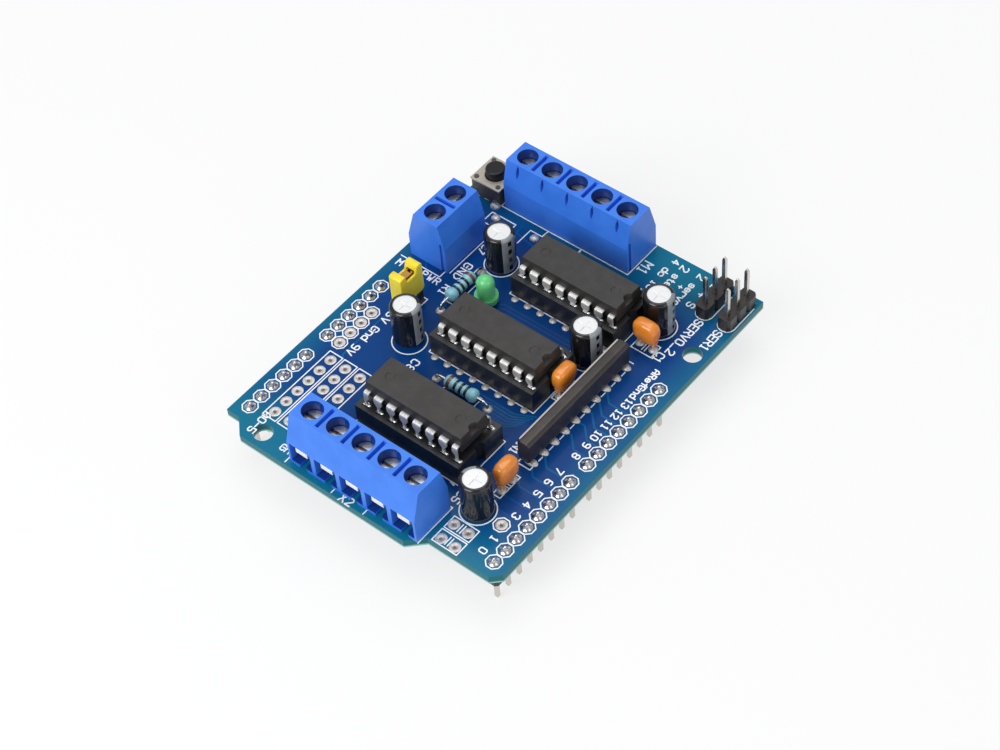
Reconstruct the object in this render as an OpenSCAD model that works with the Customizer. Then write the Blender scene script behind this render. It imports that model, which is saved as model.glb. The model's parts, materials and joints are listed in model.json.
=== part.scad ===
// Motor driver shield: a circuit board that plugs on top of a microcontroller board.
// X runs along the board's long side, Y across it, and Z = 0 is at the tips of the pins below.
// Places on the board are counted in steps of the hole grid from its lower left corner.

/* [Board] */
// Length of the board along X
board_l = 68.58; // [66:0.5:74]
// Width of the board along Y
board_w = 53.34; // [52:0.5:58]
// Thickness of the board
board_t = 1.6; // [1:0.1:2.4]
// Step of the hole grid
grid = 2.54; // [2.5:0.01:2.6]
// Diameter of the two mounting holes
mount_d = 3.2; // [2.5:0.1:3.4]

/* [Header pins] */
// Side of a square header pin
pin_side = 0.64; // [0.5:0.02:0.7]
// Height of a header's plastic strip
strip_h = 2.5; // [2:0.1:3.5]
// Width of a header's plastic strip
strip_w = 2.48; // [2:0.04:2.52]
// Length of a pin below its strip
pin_reach = 4.8; // [3:0.1:8]
// Length of a pin above the board on the soldered side
pin_stub = 0.9; // [0.5:0.1:1.5]
// Height of the servo and jumper pins above the board
post_h = 8.4; // [7.8:0.1:9.5]
// Diameter of a hole for a square pin
pin_hole_d = 1.02; // [1:0.02:1.3]

/* [Terminal blocks] */
// Distance between two poles
pole_step = 5; // [5:0.04:5.08]
// Depth of the housing from the wire side to the rear
term_depth = 7.6; // [7.5:0.1:9]
// Height of the housing
term_h = 10; // [9.8:0.1:12]
// How far the top edge leans back on the wire side
lean_front = 1.55; // [0.8:0.05:1.8]
// How far the top edge leans forward on the rear side
lean_rear = 1.15; // [0.5:0.05:1.2]
// Height of the crease in the rear face
crease_h = 5.3; // [4:0.1:6]
// Thickness of the wall between two poles
divider_t = 0.8; // [0.6:0.05:1]
// Height of the wire entry's upper edge
entry_top = 4.6; // [4.4:0.1:5]
// Thickness of the housing floor
term_floor = 0.6; // [0.4:0.05:0.65]
// Thread diameter of a clamp screw
screw_d = 2.4; // [2:0.1:2.5]
// Head diameter of a clamp screw
head_d = 3.3; // [3:0.1:3.4]
// Height of a clamp screw's head
head_h = 0.8; // [0.7:0.1:1]
// Pitch of the screw thread
thread_pitch = 0.5; // [0.4:0.05:0.6]
// Sheet thickness of a clamp cage
cage_t = 0.65; // [0.5:0.05:0.7]
// Height of the cage's threaded top wall
cage_top_t = 0.8; // [0.7:0.05:1]
// Depth of a clamp cage along the wire
cage_depth = 3.2; // [2.8:0.1:3.3]
// Thickness of the fixed contact
contact_t = 0.6; // [0.5:0.05:0.7]

/* [Chips] */
// Length of a chip body
chip_l = 18.9; // [17:0.1:20]
// Width of a chip body at its parting line
chip_w = 6.35; // [6:0.05:6.5]
// Thickness of a chip body
chip_t = 3.2; // [3:0.1:3.6]
// Draft on each side of the chip body
chip_draft = 0.23; // [0.1:0.01:0.4]
// Thickness of the lead frame
lead_t = 0.25; // [0.2:0.01:0.27]
// Width of a lead's shoulder
shoulder_w = 1.5; // [1.2:0.05:1.7]
// Width of a lead's leg
leg_w = 0.48; // [0.4:0.02:0.55]
// Height of a chip socket
socket_h = 4; // [3:0.1:4.3]
// Overall width of a chip socket
socket_w = 10.16; // [9.9:0.02:10.2]

/* [Small parts] */
// Side of the reset button's body
reset_side = 6; // [5.8:0.1:6.2]
// Height of the reset button's cover above the board
reset_h = 3.5; // [3.3:0.1:4]
// Height of the plunger's face above the board
plunger_top = 5; // [4.6:0.1:7]
// Diameter of the plunger
plunger_d = 3.4; // [3:0.1:3.6]
// Diameter of an electrolytic capacitor
can_d = 5; // [4:0.1:5.3]
// Height of an electrolytic capacitor
can_h = 7.2; // [6:0.1:12]
// Width of a ceramic capacitor
disc_w = 4.5; // [3.5:0.1:5]
// Height of a ceramic capacitor
disc_h = 4.1; // [3.5:0.1:5]
// Thickness of a ceramic capacitor
disc_t = 2.5; // [2:0.1:3]
// Length of a resistor body
resistor_l = 6.3; // [5:0.1:7]
// Diameter of a resistor body
resistor_d = 2.3; // [1.8:0.1:2.6]
// Length of the resistor network
network_l = 24.6; // [24:0.1:26]
// Height of the resistor network above the board
network_h = 5; // [4:0.1:7]
// Thickness of the resistor network
network_t = 2.3; // [2:0.1:2.6]
// Diameter of the lamp's dome
lamp_d = 3; // [2.8:0.1:3.2]
// Length of the jumper cap along its pins' row
cap_l = 5.16; // [5:0.04:5.6]
// Width of the jumper cap
cap_w = 2.42; // [2.3:0.02:2.6]
// Height of the jumper cap
cap_h = 6; // [5:0.1:6.5]

/* [Hidden] */
$fn = 48;

// Levels
board_z = pin_reach + strip_h;
top_z = board_z + board_t;
// A cutter reaches past the face that it opens by this much
over = 0.1;
// Gap between two pieces that slide or turn against each other
slip = 0.05;
// Gap between two still pieces that fit in each other
fit = 0.02;

// Board outline: the notched right edge and the cut corner
edge_notch = 1 * grid;
corner_cut = 0.6 * grid;
notch_low = 1 * grid;
notch_high = 15.9 * grid;
tab_top = 20.4 * grid;

// Rows of pins to the board below: [first hole, number of pins]
digital_pins = 8;
power_pins = 6;
digital_y = 20;
main_rows = [[[18, digital_y], digital_pins], [[9.4, digital_y], digital_pins],
             [[20, 1], power_pins], [[13, 1], power_pins]];
mount_holes = [[6, digital_y], [26, 3]];
// Servo headers, counted down from the upper edge
servo_count = 3;
servo_rows = [[0.85, board_w / grid - 0.7], [0.85, board_w / grid - 2.35]];
jumper_at = [12.65, 3.55];
extra_pads = [[15, 2], [16, 2], [17, 2], [18, 2], [22.75, 18.72],
              [24.35, 16.5], [24.35, 17.57], [25.55, 16.55], [25.55, 17.57]];
proto_rows = [[19.4, 2.5], [19.4, 3.7], [19.4, 4.9]];
proto_count = 6;
via_rows = [[15.42, 7.5], [8.87, 8.5]];
via_count = 8;

// Chips: centre on the grid, and how far each stands above its full depth in the socket
chips = [[[6.6, 12], 0], [[13.2, 11], 0], [[20, 11], 0.9]];
chip_pins = 8;
// Half the length that a chip and its socket take up, in steps of the grid
chip_reach = max(chip_l, chip_pins * grid) / 2 / grid;
row_half = 1.5 * grid;
lead_bend_r = 0.5;
chip_gap = 0.1;
leg_end = 1.3;
socket_arm = 2.54;
socket_floor = 0.9;
pocket_w = 1.1;
pocket_t = 0.96;
leaf_t = 0.2;
contact_tail = 1.3;

// Terminal blocks: corner of the wire side, number of poles, turn about Z
terminals = [[[0.05, 12.83], 5, -90], [[26.6, 5.78], 5, 90], [[5.78, 0.7], 2, 0]];
screw_t = (lean_front + term_depth - lean_rear) / 2;
head_hole_d = head_d + 0.2;
cage_w = 3.7;
cage_open = pole_step - divider_t;
head_top = term_h - 2;
head_z = head_top - head_h;
web_t = 0.35;
shaft_top = head_z - web_t;
contact_z = 3.45;
contact_w = cage_w - 2 * cage_t - 2 * slip;
cage_z = term_floor + 0.1;
cage_inner_h = 2.95;
cage_h = cage_t + cage_inner_h + cage_top_t;
cage_travel = shaft_top - 0.05 - cage_z - cage_h;
leg_t = term_depth - 1.75;
shaft_front = screw_t - cage_depth / 2 - 0.3;
groove_w = 0.7;
groove_l = 4;
groove_deep = 1;
// The wire side stands upright to this height, and leans back above it
front_crease = entry_top + 0.1;
// Lens-shaped slot through the rear wall behind each screw head
window_w = 0.6;
window_h = 2.6;
window_z = term_h - 0.1 - window_h / 2;
// Groove in one end face that locks onto a neighbour: width and depth
lock_w = 0.6;
lock_deep = 0.3;
lock_y = term_depth - 0.75;
lock_top = crease_h + 0.9;
floor_gap = 1;
lobe_r = 0.6;
solder_tail = 1.6;
solder_hole_d = 1.4;

// Reset button
reset_at = [2.1, 1.55];
reset_plate_t = 0.3;
reset_travel = 0.25;
reset_leg_w = 0.7;
reset_leg_t = 0.3;
reset_leg_y = 2.25;
reset_well_d = plunger_d + 1.2;
reset_hole_d = plunger_d + 0.3;
reset_floor = 1.2;

// Passive parts: place on the grid and height of the base above the board
cans = [[[7.05, 5.95], 0.3], [[15.32, 5.39], 1.3], [[9.95, 14.99], 0.3], [[5.38, 17.04], 0.3],
        [[22.71, 16.95], 0.3]];
can_leads = 2;
sleeve_t = 0.12;
sleeve_lip = 0.6;
sleeve_curl = 0.15;
bung_h = 1;
wire_d = 0.5;
wire_hole_d = 0.8;
wire_tail = 1.2;
// Ceramic capacitors: middle of the two holes, and turn about Z
disc_gap = 0.13;
discs = [[[7.1, 17.37], 90], [[12.8, chips[1][0][1] + chip_reach + (disc_t / 2 + disc_gap) / grid], 0],
         [[20.35, 17.18], 0]];
disc_z = 1.6;
disc_round = 1.05;
// Resistors: first hole, turn about Z
resistors = [[[8.34, 5.37], 0], [[16.66, 8.7], 90]];
resistor_span = 4 * grid;
resistor_z = resistor_d / 2 + 0.15;
resistor_bend = 0.9;
network_at = [9.2, 17.2];
network_pins = 10;
network_shift = 0.5;
network_z = 0.5;
lamp_at = [10.05, 7.22];
lamp_z = 0.8;
lamp_flange_d = lamp_d + 0.9;
lamp_flange_h = 1;
lamp_body_h = 3.6;
// Jumper cap
cap_z = 2.7;
cap_pull = 8;
cap_notch = 1.9;
cap_crest_h = 1.5;
cap_chamfer = 0.5;
spring_t = 0.2;

// A place on the board's hole grid, in millimetres from the middle of the board
function at(p) = [p[0] * grid - board_l / 2, p[1] * grid - board_w / 2, 0];
// Middle of pole i in a terminal's own frame, along its row
function pole_u(i) = (i + 0.5) * pole_step;

module at_grid(p, z = 0) { translate(at(p) + [0, 0, z]) children(); }

module grid_row(first, count, along = [1, 0]) {
    for (i = [0 : count - 1]) at_grid(first + i * along) children();
}

// Puts its children in the frame of terminal t: X along the row, Y from the wire side to the rear
module in_terminal(t) {
    at_grid(terminals[t][0], top_z) rotate(terminals[t][2]) children();
}

// Clamp k of 12, counted through the three terminal blocks
function clamp_terminal(k) = k < 5 ? 0 : k < 10 ? 1 : 2;
function clamp_pole(k) = k < 5 ? k : k < 10 ? k - 5 : k - 10;

module in_clamp(k) {
    in_terminal(clamp_terminal(k)) translate([pole_u(clamp_pole(k)), screw_t, 0]) children();
}

// Two pins per chip row and eight rows, with dir -1 on the left and 1 on the right
module each_chip_pin() {
    for (c = chips) at_grid(c[0]) for (side = [-1, 1]) for (i = [0 : chip_pins - 1]) {
        $raise = c[1];
        $end = i == 0 ? -1 : i == chip_pins - 1 ? 1 : 0;
        translate([side * row_half, (i - (chip_pins - 1) / 2) * grid, top_z]) scale_side(side) children();
    }
}

// Turns a right-hand piece into the left-hand one
module scale_side(side) { mirror([side < 0 ? 1 : 0, 0, 0]) children(); }

// A square pin with four-sided tips, from z0 to z1
module square_pin(z0, z1, side = pin_side, tip = 0.5) {
    a = side / 2;
    b = side / 5;
    profile = [[-b, z0], [b, z0], [a, z0 + tip], [a, z1 - tip],
               [b, z1], [-b, z1], [-a, z1 - tip], [-a, z0 + tip]];
    intersection() {
        rotate([90, 0, 0]) linear_extrude(side, center = true) polygon(profile);
        rotate([90, 0, 90]) linear_extrude(side, center = true) polygon(profile);
    }
}

// The plastic strip of a pin header, one cell with cut corners for each pin
module header_strip(count) {
    cut = 0.45;
    half = grid / 2;
    wide = strip_w / 2;
    linear_extrude(strip_h) difference() {
        for (i = [0 : count - 1]) translate([i * grid, 0])
            polygon([[-half, -wide + cut], [-half + cut, -wide], [half - cut, -wide], [half, -wide + cut],
                     [half, wide - cut], [half - cut, wide], [-half + cut, wide], [-half, wide - cut]]);
        for (i = [0 : count - 1]) translate([i * grid, 0]) square(pin_side, center = true);
    }
}

module board_outline() {
    x0 = -board_l / 2;
    x1 = board_l / 2;
    y0 = -board_w / 2;
    y1 = board_w / 2;
    polygon([[x0, y0], [x1 - edge_notch, y0], [x1 - edge_notch, y0 + notch_low],
             [x1, y0 + notch_low + edge_notch], [x1, y0 + notch_high - edge_notch],
             [x1 - edge_notch, y0 + notch_high], [x1 - edge_notch, y0 + tab_top],
             [x1 - edge_notch - corner_cut, y1], [x0, y1]]);
}

module board() {
    color("#0f4f8f") difference() {
        translate([0, 0, board_z]) linear_extrude(board_t) difference() {
            board_outline();
            for (r = main_rows) grid_row(r[0], r[1]) circle(d = pin_hole_d);
            for (p = servo_rows) grid_row(p, servo_count) circle(d = pin_hole_d);
            grid_row(jumper_at, 2) circle(d = pin_hole_d);
            for (p = extra_pads) at_grid(p) circle(d = pin_hole_d);
            for (p = proto_rows) grid_row(p, proto_count) circle(d = pin_hole_d);
            for (p = via_rows) grid_row(p, via_count, [0, 1]) circle(d = wire_hole_d);
            for (p = cans) at_grid(p[0]) two_wires(grid) circle(d = wire_hole_d);
            for (p = discs) at_grid(p[0]) rotate(p[1]) two_wires(grid) circle(d = wire_hole_d);
            for (p = resistors) at_grid(p[0]) rotate(p[1]) for (s = [0, resistor_span])
                translate([s, 0]) circle(d = wire_hole_d);
            grid_row(network_at, network_pins) circle(d = wire_hole_d);
            at_grid(lamp_at) two_wires(grid) circle(d = wire_hole_d);
            for (p = mount_holes) at_grid(p) circle(d = mount_d);
        }
        each_chip_pin() translate([0, 0, -board_t - over]) cylinder(d = wire_hole_d, h = board_t + 2 * over);
        for (k = [0 : 11]) in_clamp(k) translate([0, leg_t + contact_t / 2 - screw_t, -board_t - over])
            cylinder(d = solder_hole_d, h = board_t + 2 * over);
        at_grid(reset_at, board_z - over) reset_leg_places()
            cylinder(d = pin_hole_d, h = board_t + 2 * over);
    }
}

module two_wires(span) {
    for (s = [-1, 1]) translate([s * span / 2, 0]) children();
}

module header_strips() {
    color("#1c1c1e") for (r = main_rows) at_grid(r[0], pin_reach) header_strip(r[1]);
}

module header_pins() {
    color("#d8b45a") for (r = main_rows) grid_row(r[0], r[1]) square_pin(0, top_z + pin_stub);
}

module servo_headers() {
    color("#1c1c1e") for (p = servo_rows) at_grid(p, top_z) header_strip(servo_count);
}

module servo_pins() {
    color("#c9c6bd") for (p = servo_rows) grid_row(p, servo_count)
        square_pin(board_z - wire_tail, top_z + post_h);
}

module jumper_header() {
    color("#1c1c1e") at_grid(jumper_at, top_z) header_strip(2);
}

module jumper_pins() {
    color("#c9c6bd") grid_row(jumper_at, 2) square_pin(board_z - wire_tail, top_z + cap_z + cap_h - 1.6);
}

// Hollow shell with two crests at its ends and a notch between them, open over the pins
module jumper_cap() {
    half = cap_l / 2;
    c = cap_chamfer;
    cavity_l = cap_l - 1;
    cavity_w = cap_w - 0.9;
    color("#f0c92c") at_grid(jumper_at, top_z + cap_z) translate([grid / 2, 0, 0]) difference() {
        rotate([90, 0, 0]) linear_extrude(cap_w, center = true)
            polygon([[-half + c, 0], [half - c, 0], [half, c], [half, cap_h - 0.3], [half - 0.3, cap_h],
                     [cap_notch / 2 + 0.4, cap_h], [cap_notch / 2, cap_h - cap_crest_h],
                     [-cap_notch / 2, cap_h - cap_crest_h], [-cap_notch / 2 - 0.4, cap_h],
                     [-half + 0.3, cap_h], [-half, cap_h - 0.3], [-half, c]]);
        translate([0, 0, (cap_h - 1) / 2 - over])
            cube([cavity_l, cavity_w, cap_h - 1 + over], center = true);
        translate([0, 0, cap_h]) cube([cap_notch - 0.5, cavity_w, 2 * cap_crest_h + 1], center = true);
    }
}

// Folded spring strip: two leaves that run along both pins, joined over the top between them
module jumper_contact() {
    leaf_in = pin_side / 2 + slip;
    leaf_l = grid + pin_side + 0.5;
    leaf_h = cap_h - 1.6;
    color("#c9a24a") at_grid(jumper_at, top_z + cap_z + 0.3) translate([grid / 2, 0, 0]) {
        for (s = [-1, 1]) translate([-leaf_l / 2, s > 0 ? leaf_in : -leaf_in - spring_t, 0])
            cube([leaf_l, spring_t, leaf_h]);
        translate([-grid / 4, -leaf_in, leaf_h - spring_t]) cube([grid / 2, 2 * leaf_in, spring_t]);
    }
}

// Side profile of a housing: upright wire side with a crease over the entries, a flat top that is
// narrower than the foot, and a second crease in the rear
module terminal_profile() {
    polygon([[0, 0], [term_depth, 0], [term_depth, crease_h], [term_depth - lean_rear, term_h],
             [lean_front, term_h], [0, front_crease]]);
}

// Two arcs that meet in a point above and below
module lens(w, h) {
    arc_r = (h * h + w * w) / 4 / w;
    intersection() {
        translate([w / 2 - arc_r, 0]) circle(r = arc_r, $fn = 96);
        translate([arc_r - w / 2, 0]) circle(r = arc_r, $fn = 96);
    }
}

// One housing: sloped front, a wire entry, shaft, screw hole and floor slot for each pole.
// The locking groove stands at lock_u along the row, and the motor blocks have rear windows.
module terminal_housing(count, lock_u, windows) {
    length = count * pole_step;
    difference() {
        rotate([90, 0, 90]) linear_extrude(length) terminal_profile();
        for (i = [0 : count - 1]) translate([pole_u(i), 0, 0]) {
            pole_cuts();
            if (i > 0) translate([-pole_step / 2, screw_t, term_h])
                cube([groove_w, groove_l, 2 * groove_deep], center = true);
            if (windows) translate([0, term_depth, window_z]) rotate([90, 0, 0])
                linear_extrude(term_depth - screw_t - head_hole_d / 2 + 0.15) lens(window_w, window_h);
        }
        translate([lock_u, lock_y, 0]) cube([2 * lock_deep, lock_w, 2 * lock_top], center = true);
    }
}

module pole_cuts() {
    shaft_l = term_depth - 1 - shaft_front;
    // Shaft of the clamp cage
    translate([-cage_open / 2, shaft_front, term_floor]) cube([cage_open, shaft_l, shaft_top - term_floor]);
    // Wire entry, open to the front under the slope
    translate([-cage_open / 2, -1, term_floor])
        cube([cage_open, shaft_front + 1 + over, entry_top - term_floor]);
    // Screw hole with a web under the head
    translate([0, screw_t, head_z]) cylinder(d = head_hole_d, h = term_h);
    translate([0, screw_t, shaft_top - over]) cylinder(d = screw_d + 0.2, h = term_h);
    // Hole in the floor for the contact's leg
    translate([0, leg_t + contact_t / 2, -over]) cylinder(d = solder_hole_d, h = term_floor + 2 * over);
    // Slot in the floor's front edge, one of its corners rounded
    translate([-floor_gap / 2, -over, -over]) cube([floor_gap, 1.9 + over, term_floor + 2 * over]);
    translate([floor_gap / 2, 0, -over]) linear_extrude(term_floor + 2 * over) difference() {
        translate([-over, -over]) square(lobe_r + over);
        translate([lobe_r, lobe_r]) circle(r = lobe_r);
    }
}

module motor_terminal_left() {
    color("#2f6fe0") in_terminal(0) terminal_housing(terminals[0][1], 0, true);
}

module motor_terminal_right() {
    color("#2f6fe0") in_terminal(1) terminal_housing(terminals[1][1], 0, true);
}

module power_terminal() {
    color("#2f6fe0") in_terminal(2) terminal_housing(terminals[2][1], terminals[2][1] * pole_step, false);
}

// Fixed contact: an apron in the top of the entry, a bar through the cage and a leg into the board
module terminal_contact() {
    bar_top = contact_z + contact_t;
    apron = 0.55;
    apron_t = 0.45;
    front = 0.35;
    translate([-contact_w / 2, -screw_t, 0]) rotate([90, 0, 90]) linear_extrude(contact_w)
        polygon([[front, contact_z - apron], [front + apron_t, contact_z - apron],
                 [front + apron_t, contact_z], [leg_t, contact_z], [leg_t, 1.5], [leg_t + contact_t, 1.5],
                 [leg_t + contact_t, bar_top], [front + 0.2, bar_top], [front, bar_top - 0.2]]);
    translate([-0.5, leg_t - screw_t, -board_t - solder_tail])
        cube([1, contact_t, 1.5 + board_t + solder_tail]);
}

module terminal_contacts() {
    color("#cfd2d6") for (k = [0 : 11]) in_clamp(k) terminal_contact();
}

// Slotted screw that stands on the fixed contact, with its head in the housing
module clamp_screw() {
    foot = contact_z + contact_t + fit;
    slot_w = 0.55;
    color("#c4c6c8") difference() {
        union() {
            translate([0, 0, foot]) cylinder(d = screw_d, h = head_z + 0.2 - foot);
            translate([0, 0, head_z + fit]) cylinder(d = head_d, h = head_h - fit);
        }
        translate([0, 0, head_top]) cube([head_d + 1, slot_w, 1.1], center = true);
    }
}

// Folded sheet loop with a threaded top wall round the screw
module clamp_cage() {
    inner = cage_w - 2 * cage_t;
    color("#b9bcc0") translate([0, 0, cage_z]) difference() {
        translate([-cage_w / 2, -cage_depth / 2, 0]) cube([cage_w, cage_depth, cage_h]);
        translate([-inner / 2, -cage_depth, cage_t]) cube([inner, 2 * cage_depth, cage_inner_h]);
        cylinder(d = screw_d + 2 * slip, h = cage_h + over);
    }
}

// Body of a dual in-line chip, with draft all round, an end notch and two ejector marks
module chip_body() {
    z0 = top_z + socket_h + chip_gap;
    mid = chip_t / 2;
    w = chip_w / 2;
    l = chip_l / 2;
    d = chip_draft;
    translate([0, 0, z0]) difference() {
        intersection() {
            rotate([90, 0, 0]) linear_extrude(chip_l, center = true)
                polygon([[-w + d, 0], [w - d, 0], [w, mid], [w - d, chip_t], [-w + d, chip_t], [-w, mid]]);
            rotate([90, 0, 90]) linear_extrude(chip_w, center = true)
                polygon([[-l + d, 0], [l - d, 0], [l, mid], [l - d, chip_t], [-l + d, chip_t], [-l, mid]]);
        }
        translate([0, l, mid + 0.3]) cylinder(r = 0.9, h = chip_t);
        for (s = [-1, 1]) translate([0, s * (l - 2.6), chip_t - 0.12]) cylinder(d = 1.6, h = 1);
    }
}

module driver_chip_left() { color("#2b2b2d") at_grid(chips[0][0], chips[0][1]) chip_body(); }

module logic_chip() { color("#2b2b2d") at_grid(chips[1][0], chips[1][1]) chip_body(); }

module driver_chip_right() { color("#2b2b2d") at_grid(chips[2][0], chips[2][1]) chip_body(); }

// Right-hand lead: out of the body, over a rounded shoulder and down, tapering to the leg
module chip_lead(end) {
    top = socket_h + chip_gap + chip_t / 2 + lead_t / 2;
    bottom = leg_end;
    seat = socket_h + 0.3;
    out = lead_t / 2;
    body_side = chip_w / 2 - row_half;
    left = end < 0 ? leg_w / 2 : shoulder_w / 2;
    right = end > 0 ? leg_w / 2 : shoulder_w / 2;
    r = lead_bend_r;
    intersection() {
        rotate([90, 0, 0]) linear_extrude(2 * shoulder_w, center = true) {
            translate([body_side, top - lead_t]) square([out - r - body_side, lead_t]);
            translate([out - lead_t, bottom]) square([lead_t, top - r - bottom]);
            translate([out - r, top - r]) intersection() {
                difference() {
                    circle(r = r);
                    circle(r = r - lead_t);
                }
                square(r);
            }
        }
        rotate([90, 0, 90]) linear_extrude(4, center = true)
            polygon([[-leg_w / 2, bottom], [leg_w / 2, bottom], [leg_w / 2, seat - 0.3], [right, seat + 0.4],
                     [right, top + 1], [-left, top + 1], [-left, seat + 0.4], [-leg_w / 2, seat - 0.3]]);
    }
}

module chip_leads() {
    color("#d4d6d8") each_chip_pin() translate([0, 0, $raise]) chip_lead($end);
}

// Open frame with a pocket for each contact
module chip_sockets() {
    length = chip_pins * grid;
    inner = socket_w / 2 - socket_arm;
    color("#1f1f21") difference() {
        for (c = chips) at_grid(c[0], top_z) linear_extrude(socket_h) difference() {
            square([socket_w, length], center = true);
            square([2 * inner, length - 2 * socket_arm], center = true);
            translate([0, length / 2]) circle(r = 0.9);
        }
        each_chip_pin() {
            translate([-pocket_w / 2, -pocket_t / 2, socket_floor]) cube([pocket_w, pocket_t, socket_h]);
            translate([0, 0, -over]) cylinder(d = wire_hole_d, h = socket_floor + 2 * over);
        }
    }
}

// Two leaves that grip the leg, on a base with a tail through the board
module socket_contacts() {
    gap = lead_t / 2 + fit;
    base_z = socket_floor + fit;
    wide = pocket_t - 0.1;
    color("#dcdedf") each_chip_pin() {
        translate([-gap - leaf_t, -wide / 2, base_z]) cube([2 * (gap + leaf_t), wide, 0.3]);
        for (x = [-gap - leaf_t, gap]) translate([x, -wide / 2, base_z])
            cube([leaf_t, wide, socket_h - base_z]);
        translate([-0.25, -0.15, -board_t - contact_tail]) cube([0.5, 0.3, board_t + contact_tail + base_z]);
    }
}

module reset_leg_places() {
    for (x = [-1, 1]) for (y = [-1, 1])
        translate([x * (reset_side / 2 + reset_leg_t), y * reset_leg_y, 0]) scale_side(x) children();
}

// Moulded box with a round well for the dome and plunger, and a rivet post at each corner
module reset_base() {
    h = reset_h - reset_plate_t - 0.05;
    post = reset_side / 2 - 0.75;
    color("#2a2a2c") at_grid(reset_at, top_z) difference() {
        union() {
            linear_extrude(h) square(reset_side - 0.3, center = true);
            for (x = [-1, 1]) for (y = [-1, 1]) translate([x * post, y * post, 0])
                cylinder(d = 0.8, h = reset_h + 0.15);
        }
        translate([0, 0, reset_floor]) cylinder(d = reset_well_d, h = reset_h);
        reset_leg_places() translate([-0.3 - fit, -reset_leg_w / 2 - fit, 0.9 - fit])
            cube([1, reset_leg_w + 2 * fit, reset_leg_t + 2 * fit]);
    }
}

module reset_cover() {
    post = reset_side / 2 - 0.75;
    color("#c9c3b4") at_grid(reset_at, top_z + reset_h - reset_plate_t)
        linear_extrude(reset_plate_t) difference() {
            square(reset_side, center = true);
            circle(d = reset_hole_d);
            for (x = [-1, 1]) for (y = [-1, 1]) translate([x * post, y * post]) circle(d = 0.8 + fit);
        }
}

// Round plunger with a flange kept under the cover
module reset_plunger() {
    flange_top = reset_h - reset_plate_t - slip;
    flange_bottom = flange_top - 0.5;
    r = plunger_d / 2;
    color("#18181a") at_grid(reset_at, top_z) rotate_extrude()
        polygon([[0, flange_bottom], [r + 0.4, flange_bottom], [r + 0.4, flange_top], [r, flange_top],
                 [r, plunger_top - 0.2], [r - 0.2, plunger_top], [0, plunger_top]]);
}

// Snap dome between the plunger and the floor of the well
module reset_dome() {
    crown = reset_h - reset_plate_t - slip - 0.5 - reset_travel - slip - reset_floor;
    r = reset_well_d / 2 - 0.1;
    t = 0.12;
    color("#d0d0ce") at_grid(reset_at, top_z + reset_floor) rotate_extrude()
        polygon([[0, crown - t], [r * 0.5, crown * 0.8 - t], [r - 0.2, 0], [r, 0],
                 [r * 0.5 + 0.1, crown * 0.8], [0, crown]]);
}

// Flat leg: out of the base, then down through the board
module reset_legs() {
    color("#d4d6d8") at_grid(reset_at, top_z) reset_leg_places() {
        translate([-0.3, -reset_leg_w / 2, 0.9]) cube([0.3 + reset_leg_t / 2, reset_leg_w, reset_leg_t]);
        translate([-reset_leg_t / 2, -reset_leg_w / 2, -board_t - wire_tail])
            cube([reset_leg_t, reset_leg_w, board_t + wire_tail + 0.9 + reset_leg_t]);
    }
}

// Drawn can with a rolled groove near its foot, and a scored top
module capacitor_cans() {
    r = can_d / 2 - sleeve_t - fit;
    color("#b8babd") for (p = cans) at_grid(p[0], top_z + p[1]) difference() {
        rotate_extrude() polygon([[0, bung_h], [r - 0.3, bung_h], [r - 0.3, 0], [r, 0], [r, 1.2],
                                  [r - 0.3, 1.5], [r, 1.8], [r, can_h - 0.4], [r - 0.35, can_h],
                                  [0, can_h]]);
        for (a = [0, 90]) rotate(a) translate([0, 0, can_h]) cube([2.6, 0.14, 0.24], center = true);
    }
}

// Shrunk sleeve that curls over the can's shoulder
module capacitor_sleeves() {
    r = can_d / 2;
    top = can_h + sleeve_curl;
    color("#1d1d22") for (p = cans) at_grid(p[0], top_z + p[1]) rotate_extrude()
        polygon([[r - sleeve_t, 0], [r, 0], [r, can_h - 0.4], [r - 0.05, can_h - 0.18],
                 [r - 0.18, can_h], [r - 0.38, top - 0.02], [r - 0.55, top], [r - sleeve_lip, top - 0.04],
                 [r - sleeve_lip, can_h + fit], [r - 0.4, can_h + fit], [r - sleeve_t, can_h - 0.3]]);
}

module capacitor_bungs() {
    r = can_d / 2 - sleeve_t - 2 * fit - 0.3;
    color("#3a3230") for (p = cans) at_grid(p[0], top_z + p[1]) difference() {
        translate([0, 0, 0.1]) cylinder(r = r, h = bung_h - 0.1 - fit);
        two_wires(grid) cylinder(d = wire_d, h = 3);
    }
}

module capacitor_leads() {
    tail = wire_tail + board_t;
    color("#cfd2d6") for (p = cans) at_grid(p[0], top_z - tail) two_wires(grid)
        cylinder(d = wire_d, h = tail + p[1] + bung_h - 2 * fit);
}

// Dipped body: a thick rounded pillow
module ceramic_bodies() {
    r = disc_round;
    flat = disc_t / 2 - r;
    color("#e08a2e") for (p = discs) at_grid(p[0], top_z + disc_z + disc_h / 2) rotate(p[1])
        hull() for (x = [-1, 1]) for (y = [-1, 1]) for (z = [-1, 1])
            translate([x * (disc_w / 2 - r - (z < 0 ? 0.35 : 0)), y * flat, z * (disc_h / 2 - r)])
                sphere(r = r, $fn = 32);
}

module ceramic_leads() {
    tail = wire_tail + board_t;
    color("#cfd2d6") for (p = discs) at_grid(p[0], top_z - tail) rotate(p[1]) two_wires(grid)
        cylinder(d = wire_d, h = tail + disc_z + 0.05);
}

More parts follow.
